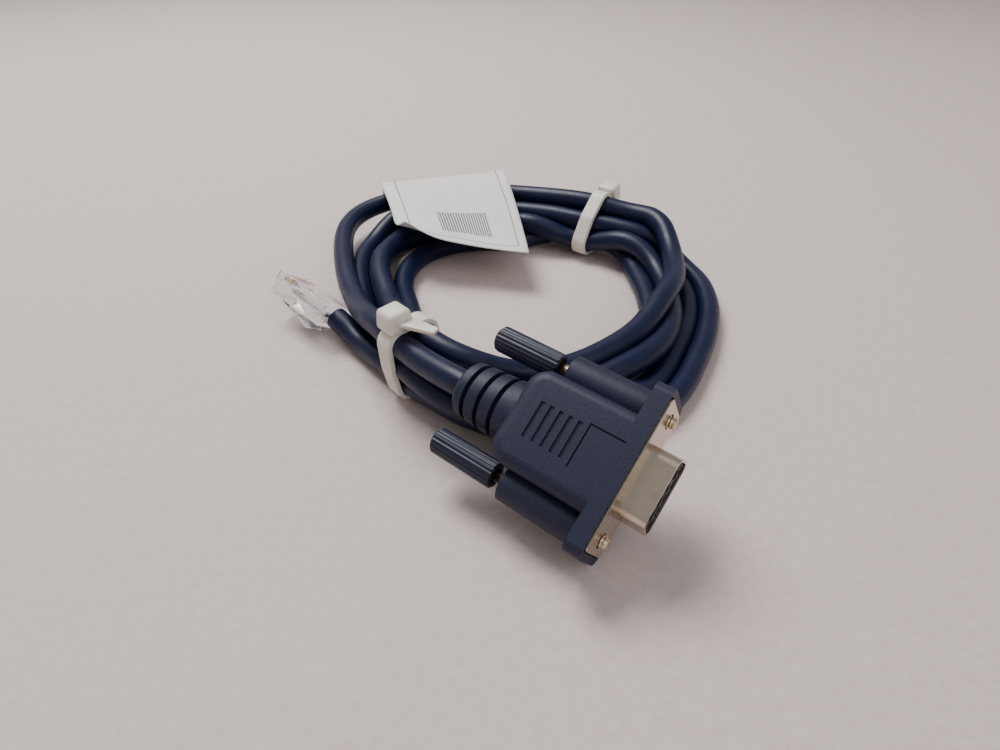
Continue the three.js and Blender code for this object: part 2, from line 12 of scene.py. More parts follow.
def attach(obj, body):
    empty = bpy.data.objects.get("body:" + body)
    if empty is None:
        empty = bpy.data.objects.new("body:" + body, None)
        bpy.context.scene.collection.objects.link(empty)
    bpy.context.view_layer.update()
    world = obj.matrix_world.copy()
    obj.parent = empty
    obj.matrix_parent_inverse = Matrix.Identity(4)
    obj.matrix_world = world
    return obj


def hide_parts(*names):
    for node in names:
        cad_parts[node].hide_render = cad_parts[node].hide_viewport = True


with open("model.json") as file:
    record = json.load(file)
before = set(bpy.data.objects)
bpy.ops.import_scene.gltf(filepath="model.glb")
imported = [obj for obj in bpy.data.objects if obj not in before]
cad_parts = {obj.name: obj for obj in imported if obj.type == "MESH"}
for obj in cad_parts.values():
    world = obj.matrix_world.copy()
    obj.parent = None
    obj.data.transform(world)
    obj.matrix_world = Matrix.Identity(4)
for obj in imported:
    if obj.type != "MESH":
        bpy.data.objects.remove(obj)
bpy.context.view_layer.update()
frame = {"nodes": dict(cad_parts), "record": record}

MM = 0.001
BODY = "cable_body"

# Where the route's zero lies in the frame. The route is in millimetres, on the floor's plane.
ROUTE_ZERO = np.array([11.523, -5.483, -0.1])


def to_frame(points):
    """Points of the route, in millimetres, as metres in the frame."""
    return (np.asarray(points, float) + ROUTE_ZERO) * MM


# Camera
CAMERA_PLACE = (0, -144, 104)
CAMERA_PITCH = 38
CAMERA_LENS = 23.4
CAMERA_SENSOR = 36


def add_camera():
    data = bpy.data.cameras.new("camera")
    data.lens = CAMERA_LENS
    data.sensor_width = CAMERA_SENSOR
    data.clip_start = 0.005
    camera = bpy.data.objects.new("camera", data)
    camera.location = to_frame(CAMERA_PLACE)
    camera.rotation_euler = (math.radians(90 - CAMERA_PITCH), 0, 0)
    bpy.context.scene.collection.objects.link(camera)
    bpy.context.scene.camera = camera


add_camera()

# Cable: its size, and the step between points of its middle line, in millimetres
CABLE_DIAMETER = 6.2
CABLE_STEP = 3.0
CABLE_SIDES = 7

# The two tied places: middle of the bundle, and the way the turns run there, clockwise from above
FRONT_TIE = np.array([-22.0, -18.0])
FRONT_WAY = np.array([-0.68, 0.73])
BACK_TIE = np.array([32.0, 60.0])
BACK_WAY = np.array([0.80, -0.60])

# Places of the passes under each tie: how far outward from its middle, and the height
FRONT_SLOTS = [(2.4, 17.2), (-3.9, 16.8), (-4.1, 10.7), (-4.5, 4.6), (2.2, 11), (1.3, 4.8)]
BACK_SLOTS = [(0.6, 17.0), (-5.6, 6.4), (0.4, 4.7), (2.9, 11.0), (-3.4, 12.2)]
SLOT_REACH = 3.0

# The stretch from the strain relief to the front tie, and from there to the plug
LEAD = [(-6.6, -38.8, 18.5), (-9.8, -36.4, 18.7), (-15.2, -30, 18.2)]
TAIL = [(-26.5, -12, 4.2), (-31.5, -6.7, 3.4), (-36.7, -1.8, 3.8), (-41.3, 2.7, 6), (-44.9, 6, 6.7)]

# Each turn from the front tie round to it again: up the left side, along the back to the back
# tie, down the right side, and under the connector. Every group has its share of holding power.
TURNS = [
    {
        "left": (0.8, [(-35, -0.5, 13.5), (-41.5, 14.5, 12), (-47, 31, 11), (-50, 47, 10.5),
                       (-51, 62.5, 10.5), (-48.5, 72.5, 11)]),
        "back": (0.8, [(-21.5, 83.5, 13), (3.5, 75.5, 15.5), (17, 72, 16.5)]),
        "right": (0.8, [(46, 58, 15), (50.5, 47.5, 14), (52, 34.5, 13.5), (50.5, 21.5, 13),
                        (45.5, 9, 13), (38.5, -3, 13.5), (31, -11.5, 13.5), (19.5, -19.5, 13)]),
        "front": (0.6, [(8, -24, 12.5), (-6, -27, 15)]),
    },
    {
        "left": (0.8, [(-31, 12, 9.5), (-34, 21.5, 9), (-36.5, 32.5, 9), (-36.5, 42, 9), (-34, 50, 8.5)]),
        "back": (0.8, [(-14, 65.5, 7.5), (3.5, 62, 7.5), (17, 60, 7.5)]),
        "right": (0.7, [(44.5, 43, 7.5), (47.5, 32.5, 7), (49, 20.5, 7), (47, 7, 8),
                        (43, -4.5, 8.5), (37, -12.5, 9), (30.5, -17.5, 9)]),
        "front": (0.5, [(20, -27, 9), (4, -31, 9.5), (-9, -27.5, 10)]),
    },
    {
        "left": (0.8, [(-26, 11, 8), (-29, 24.5, 5.5), (-29.5, 35.5, 4.5), (-28, 45, 4), (-23, 52, 4)]),
        "back": (0.6, [(-7, 60.5, 4), (5, 59.5, 3.5), (17, 59, 4)]),
        "right": (0.6, [(37, 51, 5), (42, 43, 4), (44.5, 32.5, 3.5), (45, 21, 3), (44.5, 9.5, 3),
                        (42.5, -1, 3), (38.5, -9, 3)]),
        "front": (0.4, [(34, -24, 3), (20, -30, 3), (4, -30, 3), (-9, -24, 4)]),
    },
    {
        "left": (0.3, [(-33, 17, 3.5), (-36.5, 29.5, 3), (-39, 40.5, 3), (-38.5, 54.5, 3), (-33.5, 65, 3)]),
        "back": (0.3, [(-18.5, 85, 4), (3.5, 81.5, 7), (18, 76, 9.5)]),
        "right": (0.3, [(48.5, 48, 7), (52.5, 42.5, 4), (53.5, 31, 3), (52, 18, 3), (48.5, 5, 3),
                        (44, -5.5, 3)]),
        "front": (0.3, [(31, -27, 3.5), (16, -35, 6), (0, -34, 9), (-9, -29.5, 10.5)]),
    },
    {
        "left": (0.6, [(-32.5, 1, 8.5), (-38, 16.5, 6), (-41.5, 29.5, 5), (-43.5, 41, 5),
                       (-43.5, 52, 5.5), (-41, 62, 6)]),
        "back": (0.8, [(-17.5, 74.5, 10.5), (3.5, 67, 12), (17, 64, 12.5)]),
        "right": (0.8, [(47, 50, 10), (57.5, 42, 5.5), (61, 35.5, 4), (61, 25.5, 3.5), (59.5, 14.5, 3),
                        (55, 1.5, 3), (50, -8, 3), (45, -15, 3)]),
        "front": (0.5, [(36, -24, 3), (22, -33, 3), (6, -35.5, 3), (-8, -30.5, 4)]),
    },
]
END_HOLD = 3.0
TAIL_HOLD = 2.0
SLOT_HOLD = 1.5


def unit(vector):
    return vector / np.linalg.norm(vector)


def under_tie(tie, way, slot, ahead):
    """A point of one pass under a tie, a step before or after the tie's middle."""
    way = unit(way)
    outward = np.array([-way[1], way[0]])
    across, height = slot
    x, y = tie + outward * across + way * ahead
    return (x, y, height)


def cable_route():
    """The chosen points of the whole cable, and how firmly each one holds it."""
    points, holds = [], []

    def add(group, hold):
        points.extend(group)
        holds.extend([hold] * len(group))

    def add_slot(tie, way, slot):
        add([under_tie(tie, way, slot, ahead) for ahead in (-SLOT_REACH, SLOT_REACH)], SLOT_HOLD)

    add(LEAD, END_HOLD)
    for turn, front, back in zip(TURNS, FRONT_SLOTS, BACK_SLOTS):
        add_slot(FRONT_TIE, FRONT_WAY, front)
        add(turn["left"][1], turn["left"][0])
        add(turn["back"][1], turn["back"][0])
        add_slot(BACK_TIE, BACK_WAY, back)
        add(turn["right"][1], turn["right"][0])
        add(turn["front"][1], turn["front"][0])
    add_slot(FRONT_TIE, FRONT_WAY, FRONT_SLOTS[-1])
    add(TAIL, TAIL_HOLD)
    return np.array(points, float), np.array(holds)


def evenly(points, holds, step):
    """The same line with its points a step apart."""
    along = np.r_[0, np.cumsum(np.linalg.norm(np.diff(points, axis=0), axis=1))]
    places = np.linspace(0, along[-1], int(round(along[-1] / step)) + 1)
    line = np.stack([np.interp(places, along, points[:, k]) for k in range(3)], 1)
    return line, np.interp(places, along, holds)


ROUTE_STIFFNESS = 300.0
ROUTE_END_HOLD = 200.0


def smooth_line(points, holds):
    """The line of least change in bend that stays near the points, by least squares."""
    count = len(points)
    weights = holds.copy()
    weights[[0, -1]] = ROUTE_END_HOLD
    third = np.diff(np.eye(count), n=3, axis=0)
    system = np.diag(weights) + ROUTE_STIFFNESS * third.T @ third
    return np.linalg.solve(system, weights[:, None] * points)


SETTLE_STEPS = 250
PUSHES_PER_STEP = 2
PULL = 0.03
BENDING = 0.9
SINK = 0.03
PUSH = 0.6
NEIGHBOURS = 3.2
FLOOR_GAP = 0.15
TIE_LIFT = 1.5
TIE_REACH = 12.0


def floor_height(line):
    """How low the middle line may lie: a little higher where a strap passes under it."""
    away = np.minimum(
        np.linalg.norm(line[:, :2] - FRONT_TIE, axis=1),
        np.linalg.norm(line[:, :2] - BACK_TIE, axis=1),
    )
    return CABLE_DIAMETER / 2 + FLOOR_GAP + TIE_LIFT * np.clip(2 - away / TIE_REACH, 0, 1)


def settle(line, holds):
    """Lets the turns bend, sink and push each other apart until they lie on one another."""
    target = line.copy()
    count = len(line)
    first, second = np.triu_indices(count, k=math.ceil(NEIGHBOURS * CABLE_DIAMETER / CABLE_STEP))
    ends = [0, 1, count - 2, count - 1]
    for _ in range(SETTLE_STEPS):
        line[:, :2] += (target - line)[:, :2] * PULL * holds[:, None]
        line[:, 2] += (target - line)[:, 2] * PULL * holds / 2
        bend = line[:-2] - 2 * line[1:-1] + line[2:]
        force = np.zeros_like(line)
        force[1:-1] -= 2 * bend
        force[:-2] += bend
        force[2:] += bend
        line -= BENDING * force / 8
        line[:, 2] -= SINK
        for _ in range(PUSHES_PER_STEP):
            between = line[first] - line[second]
            distance = np.linalg.norm(between, axis=1)
            touching = distance < CABLE_DIAMETER
            a, b = first[touching], second[touching]
            apart = distance[touching][:, None]
            push = between[touching] / apart * (CABLE_DIAMETER - apart) / 2 * PUSH
            moved = np.zeros_like(line)
            met = np.zeros(count)
            np.add.at(moved, a, push)
            np.add.at(moved, b, -push)
            np.add.at(met, a, 1)
            np.add.at(met, b, 1)
            line += moved / np.maximum(np.sqrt(met), 1)[:, None]
            line[:, 2] = np.maximum(line[:, 2], floor_height(line))
        line[ends] = target[ends]
    return line


def through(points, count):
    """A smooth line through points that lie a step apart, with count points between each two."""
    padded = np.vstack([2 * points[0] - points[1], points, 2 * points[-1] - points[-2]])
    share = (np.arange(count) / count)[:, None]
    pieces = []
    for p0, p1, p2, p3 in zip(padded, padded[1:], padded[2:], padded[3:]):
        pieces.append(
            p1
            + (p2 - p0) / 2 * share
            + (p0 - 2.5 * p1 + 2 * p2 - p3 / 2) * share**2
            + (-p0 + 3 * p1 - 3 * p2 + p3) / 2 * share**3
        )
    return np.vstack(pieces + [points[-1:]])


ROUTE_FINENESS = 6


def cable_line():
    points, holds = cable_route()
    dense = through(points, ROUTE_FINENESS)
    held = np.interp(np.arange(len(dense)) / ROUTE_FINENESS, np.arange(len(holds)), holds)
    line, held = evenly(dense, held, CABLE_STEP)
    line, held = evenly(smooth_line(line, held), held, CABLE_STEP)
    return settle(line, held)


def length_of(points):
    return float(np.linalg.norm(np.diff(points, axis=0), axis=1).sum())


# Materials
def nodes_of(name):
    material = bpy.data.materials.new(name)
    material.use_nodes = True
    tree = material.node_tree
    shader = tree.nodes["Principled BSDF"]
    return material, tree, shader


def link(tree, source, target):
    tree.links.new(source, target)


def noise(tree, scale, detail=4.0, roughness=0.55):
    """Noise in the object's own metres; scale is in bumps per metre."""
    place = tree.nodes.new("ShaderNodeTexCoord")
    texture = tree.nodes.new("ShaderNodeTexNoise")
    texture.inputs["Scale"].default_value = scale
    texture.inputs["Detail"].default_value = detail
    texture.inputs["Roughness"].default_value = roughness
    link(tree, place.outputs["Object"], texture.inputs["Vector"])
    return texture.outputs["Fac"]


def ramp(tree, source, low, high, start=0.3, end=0.7):
    node = tree.nodes.new("ShaderNodeValToRGB")
    node.color_ramp.elements[0].position = start
    node.color_ramp.elements[1].position = end
    node.color_ramp.elements[0].color = (*low, 1)
    node.color_ramp.elements[1].color = (*high, 1)
    link(tree, source, node.inputs["Fac"])
    return node.outputs["Color"]


def spread(tree, source, low, high, start=0.3, end=0.7):
    node = tree.nodes.new("ShaderNodeMapRange")
    node.inputs["From Min"].default_value = start
    node.inputs["From Max"].default_value = end
    node.inputs["To Min"].default_value = low
    node.inputs["To Max"].default_value = high
    link(tree, source, node.inputs["Value"])
    return node.outputs["Result"]


def bump(tree, shader, height, strength, distance, before=None):
    node = tree.nodes.new("ShaderNodeBump")
    node.inputs["Strength"].default_value = strength
    node.inputs["Distance"].default_value = distance
    link(tree, height, node.inputs["Height"])
    if before:
        link(tree, before.outputs["Normal"], node.inputs["Normal"])
    link(tree, node.outputs["Normal"], shader.inputs["Normal"])
    return node


def cable_jacket():
    material, tree, shader = nodes_of("cable_jacket")
    link(tree, ramp(tree, noise(tree, 90), (0.003, 0.006, 0.030), (0.0045, 0.009, 0.040)),
         shader.inputs["Base Color"])
    link(tree, spread(tree, noise(tree, 400), 0.36, 0.46), shader.inputs["Roughness"])
    shader.inputs["Specular IOR Level"].default_value = 0.32
    coarse = bump(tree, shader, noise(tree, 350), 0.25, 0.00008)
    bump(tree, shader, noise(tree, 6000, 2), 0.25, 0.00002, coarse)
    return material


def moulded_plastic():
    """Navy plastic with a fine spark-eroded grain."""
    material, tree, shader = nodes_of("hood_plastic")
    grain = noise(tree, 3600, 3, 0.6)
    link(tree, ramp(tree, grain, (0.004, 0.005, 0.020), (0.016, 0.019, 0.052)),
         shader.inputs["Base Color"])
    link(tree, spread(tree, grain, 0.62, 0.5), shader.inputs["Roughness"])
    shader.inputs["Specular IOR Level"].default_value = 0.4
    bump(tree, shader, grain, 0.55, 0.00006)
    return material


def knob_plastic():
    material, tree, shader = nodes_of("knob_plastic")
    grain = noise(tree, 2500, 3, 0.5)
    link(tree, ramp(tree, grain, (0.003, 0.005, 0.022), (0.006, 0.009, 0.034)),
         shader.inputs["Base Color"])
    link(tree, spread(tree, noise(tree, 500), 0.38, 0.5), shader.inputs["Roughness"])
    bump(tree, shader, grain, 0.2, 0.00003)
    return material


def metal(name, colour, rough, streak=900):
    material, tree, shader = nodes_of(name)
    darker = tuple(0.8 * c for c in colour)
    link(tree, ramp(tree, noise(tree, 160), darker, colour), shader.inputs["Base Color"])
    link(tree, spread(tree, noise(tree, streak), rough, rough + 0.12), shader.inputs["Roughness"])
    shader.inputs["Metallic"].default_value = 1.0
    bump(tree, shader, noise(tree, streak), 0.16, 0.00002)
    return material


def dull_plastic(name, colour, rough):
    material, tree, shader = nodes_of(name)
    darker = tuple(0.7 * c for c in colour)
    link(tree, ramp(tree, noise(tree, 600), darker, colour), shader.inputs["Base Color"])
    link(tree, spread(tree, noise(tree, 1500), rough, rough + 0.12), shader.inputs["Roughness"])
    bump(tree, shader, noise(tree, 3000), 0.15, 0.00002)
    return material


def nylon():
    material, tree, shader = nodes_of("tie_nylon")
    link(tree, ramp(tree, noise(tree, 220), (0.66, 0.62, 0.53), (0.78, 0.75, 0.67)),
         shader.inputs["Base Color"])
    link(tree, spread(tree, noise(tree, 700), 0.34, 0.5), shader.inputs["Roughness"])
    shader.inputs["Subsurface Weight"].default_value = 0.35
    shader.inputs["Subsurface Scale"].default_value = 0.002
    bump(tree, shader, noise(tree, 900), 0.15, 0.00004)
    return material


def clear_plastic():
    material, tree, shader = nodes_of("clear_plastic")
    shader.inputs["Base Color"].default_value = (0.95, 0.95, 0.95, 1)
    shader.inputs["Transmission Weight"].default_value = 0.94
    shader.inputs["IOR"].default_value = 1.12
    link(tree, spread(tree, noise(tree, 500), 0.01, 0.07), shader.inputs["Roughness"])
    bump(tree, shader, noise(tree, 260), 0.08, 0.00004)
    return material


# Print on the label, in metres from the middle of the sheet
LABEL_LINE = 0.0004
LABEL_LINES_X = (-0.0195, 0.0205)
LABEL_PRINT_Y = (-0.0185, 0.0215)
BARS_X = (-0.008, 0.010)
BARS_Y = (-0.0145, -0.0075)
BAR_PITCH = 0.0009


def paper():
    """White paper with a thin printed frame and a plain block of bars, drawn on the sheet's own
    UV, which is in metres from its middle."""
    material, tree, shader = nodes_of("label_paper")
    place = tree.nodes.new("ShaderNodeUVMap")
    place.uv_map = "sheet"
    split = tree.nodes.new("ShaderNodeSeparateXYZ")
    link(tree, place.outputs["UV"], split.inputs["Vector"])

    def math_node(operation, a, b):
        node = tree.nodes.new("ShaderNodeMath")
        node.operation = operation
        for value, target in zip((a, b), node.inputs):
            if isinstance(value, (int, float)):
                target.default_value = value
            elif value is not None:
                link(tree, value, target)
        return node.outputs[0]

    def within(value, low, high):
        return math_node("MULTIPLY", math_node("GREATER_THAN", value, low),
                         math_node("LESS_THAN", value, high))

    x, y = split.outputs["X"], split.outputs["Y"]
    lines = []
    for side in LABEL_LINES_X:
        lines.append(math_node("MULTIPLY", within(x, side, side + LABEL_LINE),
                               within(y, *LABEL_PRINT_Y)))
    lines.append(math_node("MULTIPLY", within(y, LABEL_PRINT_Y[0], LABEL_PRINT_Y[0] + LABEL_LINE),
                           within(x, *LABEL_LINES_X)))
    wave = math_node("SINE", math_node("MULTIPLY", x, 2 * math.pi / BAR_PITCH), None)
    bars = math_node("MULTIPLY", math_node("GREATER_THAN", wave, -0.1),
                     math_node("MULTIPLY", within(x, *BARS_X), within(y, *BARS_Y)))
    printed = bars
    for line in lines:
        printed = math_node("MAXIMUM", printed, line)
    sheet = ramp(tree, noise(tree, 300), (0.72, 0.70, 0.68), (0.80, 0.78, 0.76))
    mix = tree.nodes.new("ShaderNodeMix")
    mix.data_type = "RGBA"
    link(tree, printed, mix.inputs["Factor"])
    link(tree, sheet, mix.inputs["A"])
    mix.inputs["B"].default_value = (0.11, 0.10, 0.11, 1)
    link(tree, mix.outputs["Result"], shader.inputs["Base Color"])
    link(tree, spread(tree, noise(tree, 900), 0.5, 0.62), shader.inputs["Roughness"])
    bump(tree, shader, noise(tree, 1800), 0.1, 0.00003)
    return material


def dress(node, material, round_edge=None, smooth=35):
    """Gives a CAD node its material, smooth shading and, if asked, softened edges."""
    obj = frame["nodes"][node]
    obj.data.materials.clear()
    obj.data.materials.append(material)
    weld = obj.modifiers.new("weld", "WELD")
    weld.merge_threshold = 2e-6
    if round_edge:
        edge = obj.modifiers.new("edge", "BEVEL")
        edge.width = round_edge
        edge.segments = 3
        edge.limit_method = "ANGLE"
        edge.angle_limit = math.radians(smooth)
        edge.harden_normals = False
    for face in obj.data.polygons:
        face.use_smooth = True
    by_angle = obj.modifiers.new("weighted", "WEIGHTED_NORMAL")
    by_angle.keep_sharp = True
    return obj


def add_mesh(name, vertices, faces, material, smooth=True):
    mesh = bpy.data.meshes.new(name)
    mesh.from_pydata([tuple(v) for v in vertices], [], faces)
    mesh.materials.append(material)
    for face in mesh.polygons:
        face.use_smooth = smooth
    obj = bpy.data.objects.new(name, mesh)
    bpy.context.scene.collection.objects.link(obj)
    return obj


# Cable
line = cable_line()
smooth_cable = through(line, 2)


def add_cable():
    curve = bpy.data.curves.new("cable", "CURVE")
    curve.dimensions = "3D"
    curve.bevel_depth = CABLE_DIAMETER / 2 * MM
    curve.bevel_resolution = CABLE_SIDES
    curve.use_fill_caps = True
    spline = curve.splines.new("POLY")
    places = to_frame(smooth_cable)
    spline.points.add(len(places) - 1)
    for point, place in zip(spline.points, places):
        point.co = (*place, 1)
    spline.use_smooth = True
    curve.materials.append(cable_jacket())
    obj = bpy.data.objects.new("cable", curve)
    bpy.context.scene.collection.objects.link(obj)
    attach(obj, BODY)
    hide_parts("cable_lead", "cable_coil", "cable_tail")
    return obj


cable = add_cable()
print("cable length", length_of(to_frame(smooth_cable)))

# Zip ties, in millimetres
STRAP_WIDTH = 4.8
STRAP_THICKNESS = 1.1
STRAP_CLEARANCE = 0.15
STRAP_STEPS = 96
STRAP_FLOOR = 1.4
BUNDLE_REACH = 20


def crossings(tie, way):
    """Where the cable crosses a tie's plane: how far outward, and how high."""
    way = unit(way)
    outward = np.array([-way[1], way[0]])
    found = []
    for p, q in zip(smooth_cable, smooth_cable[1:]):
        before, after = (p[:2] - tie) @ way, (q[:2] - tie) @ way
        if before < 0 <= after and np.linalg.norm(p[:2] - tie) < BUNDLE_REACH:
            place = p + (q - p) * before / (before - after)
            found.append(((place[:2] - tie) @ outward, place[2]))
    return np.array(found)


def tie_outline(passes, gap):
    """The closed line round all the passes, a gap outside them."""
    outline = []
    for angle in np.linspace(0, 2 * math.pi, STRAP_STEPS, endpoint=False):
        facing = np.array([math.cos(angle), math.sin(angle)])
        furthest = passes[np.argmax(passes @ facing)]
        outline.append(furthest + facing * (CABLE_DIAMETER / 2 + gap))
    outline = np.array(outline)
    outline[:, 1] = np.maximum(outline[:, 1], STRAP_FLOOR - gap)
    return outline


def tie_place(tie, way, across, height, along):
    way = unit(way)
    outward = np.array([-way[1], way[0]])
    x, y = tie + outward * across + way * along
    return to_frame((x, y, height))


STRAP_EDGE = 0.25


def add_tie(name, node, tie, way, material):
    passes = crossings(tie, way)
    inner = tie_outline(passes, STRAP_CLEARANCE)
    outer = tie_outline(passes, STRAP_CLEARANCE + STRAP_THICKNESS)
    half = STRAP_WIDTH / 2
    section = [
        (0, -half), (0, half),
        (STRAP_EDGE / STRAP_THICKNESS, half), (1, half - STRAP_EDGE),
        (1, -half + STRAP_EDGE), (STRAP_EDGE / STRAP_THICKNESS, -half),
    ]
    vertices = []
    for a, b in zip(inner, outer):
        for share, along in section:
            across, height = a + (b - a) * share
            vertices.append(tie_place(tie, way, across, height, along))
    sides = len(section)
    faces = []
    for k in range(STRAP_STEPS):
        after = (k + 1) % STRAP_STEPS
        for j in range(sides):
            nxt = (j + 1) % sides
            faces.append((k * sides + j, k * sides + nxt, after * sides + nxt, after * sides + j))
    obj = add_mesh(name, vertices, faces, material, smooth=False)
    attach(obj, BODY)
    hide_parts(node)
    return obj


tie_nylon = nylon()
add_tie("tie_strap_front", "zip_tie_front", FRONT_TIE, FRONT_WAY, tie_nylon)
add_tie("tie_strap_back", "zip_tie_back", BACK_TIE, BACK_WAY, tie_nylon)

HEAD_LENGTH = 7.0
HEAD_WIDTH = 6.6
HEAD_HEIGHT = 5.2
HEAD_ROUND = 1.1
HEAD_OUT = -0.3
HEAD_TAPER = (0.84, 0.9)
TAIL_WIDTH = 4.4
TAIL_THICKNESS = 1.0
TAIL_TIP = 2.2
TAIL_STEPS = 10
TAIL_EDGE = 0.18


def tie_side(tie, way, angle):
    """The place on a strap's outside that faces an angle, with the ways out and along the strap."""
    passes = crossings(tie, way)
    facing = np.array([math.cos(angle), math.sin(angle)])
    spot = passes[np.argmax(passes @ facing)]
    spot = spot + facing * (CABLE_DIAMETER / 2 + STRAP_CLEARANCE + STRAP_THICKNESS)
    outward = np.array([-unit(way)[1], unit(way)[0]])
    out = np.array([*(outward * facing[0]), facing[1]])
    on = np.array([*(outward * facing[1]), -facing[0]])
    place = np.array([*(np.asarray(tie) + outward * spot[0]), spot[1]])
    return place, out, on


def add_tie_head(name, node, tie, way, degrees, material):
    """The moulded block that the strap passes through, lying on the strap."""
    place, out, on = tie_side(tie, way, math.radians(degrees))
    wide = np.array([*unit(way), 0])
    work = bmesh.new()
    bmesh.ops.create_cube(work, size=1)
    bmesh.ops.scale(work, vec=(HEAD_LENGTH, HEAD_WIDTH, HEAD_HEIGHT), verts=work.verts)
    for vertex in work.verts:
        if vertex.co.z > 0:
            vertex.co.x *= HEAD_TAPER[0]
            vertex.co.y *= HEAD_TAPER[1]
    bmesh.ops.bevel(work, geom=work.edges[:], offset=HEAD_ROUND, segments=4, profile=0.5, affect="EDGES")
    middle = place + out * (HEAD_HEIGHT / 2 + HEAD_OUT)
    for vertex in work.verts:
        x, y, z = vertex.co
        vertex.co = to_frame(middle + on * x + wide * y + out * z)
    mesh = bpy.data.meshes.new(name)
    bmesh.ops.recalc_face_normals(work, faces=work.faces[:])
    work.to_mesh(mesh)
    work.free()
    mesh.materials.append(material)
    for face in mesh.polygons:
        face.use_smooth = True
    obj = bpy.data.objects.new(name, mesh)
    bpy.context.scene.collection.objects.link(obj)
    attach(obj, BODY)
    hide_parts(node)
    return middle, out, on


def add_tie_tail(name, node, points, way, material):
    """The strap's free end: a flat strip along the points, that narrows to its tip."""
    line = through(np.array(points, float), TAIL_STEPS)
    wide = np.array([*unit(way), 0])
    vertices, faces = [], []
    for number, place in enumerate(line):
        share = number / (len(line) - 1)
        half = (TAIL_WIDTH + (TAIL_TIP - TAIL_WIDTH) * share) / 2
        thick = TAIL_THICKNESS / 2
        before, after = line[max(number - 1, 0)], line[min(number + 1, len(line) - 1)]
        up = unit(np.cross(wide, unit(after - before)))
        for across, rise in ((-half, -thick), (half, -thick), (half, thick), (-half, thick)):
            vertices.append(to_frame(place + wide * across + up * rise))
    count = len(line)
    for k in range(count - 1):
        for j in range(4):
            nxt = (j + 1) % 4
            faces.append((k * 4 + j, k * 4 + nxt, k * 4 + 4 + nxt, k * 4 + 4 + j))
    faces.append((3, 2, 1, 0))
    faces.append(tuple(4 * (count - 1) + j for j in range(4)))
    obj = add_mesh(name, vertices, faces, material)
    edge = obj.modifiers.new("edge", "BEVEL")
    edge.width = TAIL_EDGE * MM
    edge.segments = 2
    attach(obj, BODY)
    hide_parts(node)


FRONT_HEAD_ANGLE = 88
BACK_HEAD_ANGLE = 20
TAIL_REACH = 8.5
TAIL_START = 0.35
TAIL_WAY = np.array([0.9, -0.43, -0.06])

front_head, front_out, front_on = add_tie_head(
    "tie_head_front", "zip_tie_front", FRONT_TIE, FRONT_WAY, FRONT_HEAD_ANGLE, tie_nylon)
add_tie_head("tie_head_back", "zip_tie_back", BACK_TIE, BACK_WAY, BACK_HEAD_ANGLE, tie_nylon)
tail_start = front_head + unit(TAIL_WAY) * HEAD_LENGTH * TAIL_START
add_tie_tail(
    "tie_tail_front", "zip_tie_front",
    [tail_start + unit(TAIL_WAY) * TAIL_REACH * share for share in (0, 0.35, 0.7, 1)],
    (-TAIL_WAY[1], TAIL_WAY[0]), tie_nylon)


# Label: one sheet, folded over a turn at the back left and hanging down as a flag. Its places are
# chosen in the picture, from the left edge to the right one: pixels across, pixels down, and the
# height in millimetres. Each row starts on the fold and ends at the flag's free edge.
PICTURE_SIZE = (1000, 750)
LABEL_SEEN = [
    [(381, 184, 15), (386, 196, 15.4), (391, 210, 15.2), (396, 224, 15), (405, 221, 18)],
    [(411, 181, 16.4), (417, 196, 16.4), (423, 212, 15.6), (430, 230, 14.8), (434, 237, 14.6)],
    [(445, 178, 17.6), (452, 194, 16.8), (460, 214, 15), (467, 236, 13.2), (469, 245, 12.8)],
    [(477, 175, 19.2), (484, 192, 17.4), (492, 213, 15), (500, 241, 12.6), (502, 250, 12.2)],
    [(505, 171, 20.6), (511, 188, 18), (518, 211, 15), (526, 240, 12.2), (529, 253, 11.8)],
]
# Behind the fold the sheet goes down round the turn
BEHIND_FOLD = [np.array([-0.3, 2.6, -5.0]), np.array([0.0, 2.6, -1.8])]
LABEL_THICKNESS = 0.3
LABEL_ACROSS = 9
LABEL_DOWN = 8
LABEL_SIZE = (0.050, 0.046)


def seen_at(across, down, height):
    """The place at a height that the camera sees at a point of the picture, to 0.1 mm."""
    pitch = math.radians(CAMERA_PITCH)
    ahead = np.array([0, math.cos(pitch), -math.sin(pitch)])
    upward = np.array([0, math.sin(pitch), math.cos(pitch)])
    focal = CAMERA_LENS / CAMERA_SENSOR * PICTURE_SIZE[0]
    way = ahead + upward * (PICTURE_SIZE[1] / 2 - down) / focal
    way[0] += (across - PICTURE_SIZE[0] / 2) / focal
    start = np.array(CAMERA_PLACE, float)
    return np.round(start + way * (height - start[2]) / way[2], 1)


def label_row(seen):
    """One row of the sheet: behind the fold, over it, and down the flag."""
    places = [seen_at(*point) for point in seen]
    return np.array([places[0] + behind for behind in BEHIND_FOLD] + places)


def add_label(material):
    rows = [through(label_row(seen), LABEL_DOWN) for seen in LABEL_SEEN]
    columns = [through(np.array(column), LABEL_ACROSS) for column in zip(*rows)]
    grid = np.array(columns)
    down, across = grid.shape[:2]
    vertices = [to_frame(place) for column in grid for place in column]
    faces = []
    for i in range(down - 1):
        for j in range(across - 1):
            a = i * across + j
            faces.append((a, a + across, a + across + 1, a + 1))
    obj = add_mesh("label_sheet", vertices, faces, material)
    layer = obj.data.uv_layers.new(name="sheet")
    for loop in obj.data.loops:
        i, j = divmod(loop.vertex_index, across)
        layer.data[loop.index].uv = (
            (j / (across - 1) - 0.5) * LABEL_SIZE[0],
            (0.5 - i / (down - 1)) * LABEL_SIZE[1],
        )
    thick = obj.modifiers.new("thickness", "SOLIDIFY")
    thick.thickness = LABEL_THICKNESS * MM
    thick.offset = 0
    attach(obj, BODY)
    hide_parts("paper_label")


add_label(paper())

